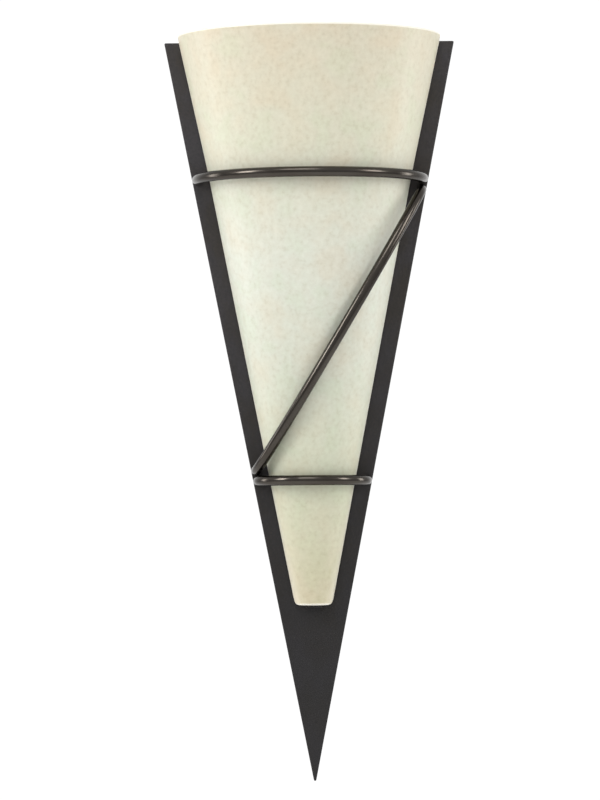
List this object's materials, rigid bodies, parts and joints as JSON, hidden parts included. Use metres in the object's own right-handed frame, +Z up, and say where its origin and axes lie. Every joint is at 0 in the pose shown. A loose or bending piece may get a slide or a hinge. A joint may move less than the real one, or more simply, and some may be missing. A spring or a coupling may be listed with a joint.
{
  "type": "wall sconce",
  "caption": "Torch wall sconce: tapering triangular back plate, half-cone glass shade open at the top, held behind two level bent rods and one diagonal rod, with a candle lamp inside.",
  "frame": {"origin": "middle of the wall strap's two fixing slots, on the wall's surface", "axes": "X to the right as seen from the room, Y into the wall, Z up; azimuth 0 looks along +Y"},
  "size_m": [0.1996, 0.1015, 0.5127],
  "materials": {
    "textured_paint": "fine-textured, near-black brown",
    "bar": "satin dark bronze",
    "shade_glass": "opal cream with fine flecks, satin",
    "silicone": "translucent, soft",
    "zinc": "zinc-plated",
    "dark_metal": "satin, dark",
    "brass_plain": "plain",
    "tinned": "tinned",
    "holder_plastic": "moulded, matt",
    "core_plastic": "unglazed",
    "lamp_clear_glass": "clear",
    "cap_metal": "plain, rolled",
    "black_glass": "vitreous, black",
    "tungsten": "drawn wire",
    "block_plastic": "natural",
    "bush_rubber": "moulded",
    "sleeving_brown": "extruded",
    "sleeving_blue": "extruded",
    "sleeving_green_yellow": "extruded"
  },
  "bodies": {
    "sconce_frame": {"back_plate": "textured_paint", "shade_ledge": "textured_paint", "upper_rod": "bar", "lower_rod": "bar", "diagonal_rod": "bar", "shade_pads": "silicone", "wall_strap": "zinc", "strap_screws": "zinc", "strap_nuts": "zinc", "holder_bracket": "zinc", "bracket_rivets": "zinc", "holder_nipple": "zinc", "nipple_nut": "zinc", "block_screw": "zinc", "block_nut": "zinc", "cap_washers": "dark_metal", "cap_nuts": "dark_metal", "centre_contact": "brass_plain", "contact_screws": "brass_plain", "thread_sleeve": "brass_plain", "terminal_tubes": "brass_plain", "terminal_screws": "brass_plain", "earth_screw": "brass_plain", "earth_washer": "brass_plain", "earth_nut": "brass_plain", "earth_tag": "tinned", "holder_base": "holder_plastic", "holder_shell": "holder_plastic", "holder_core": "core_plastic", "terminal_block": "block_plastic", "lead_grommet": "bush_rubber", "live_lead": "sleeving_brown", "neutral_lead": "sleeving_blue", "earth_lead": "sleeving_green_yellow"},
    "shade": {"glass_shade": "shade_glass"},
    "lamp": {"lamp_cap": "cap_metal", "lamp_insulator": "black_glass", "lamp_tip": "tinned", "lamp_glass": "lamp_clear_glass", "lamp_stem": "lamp_clear_glass", "lamp_filament": "tungsten"}
  },
  "joints": [
    {"name": "shade_lift", "type": "slide", "parent": "sconce_frame", "child": "shade", "axis": [0, -0.1689, 0.9856], "range_m": [0, 0.305]},
    {"name": "lamp_lift", "type": "slide", "parent": "sconce_frame", "child": "lamp", "axis": [0, 0, 1], "range_m": [0, 0.03]}
  ]
}
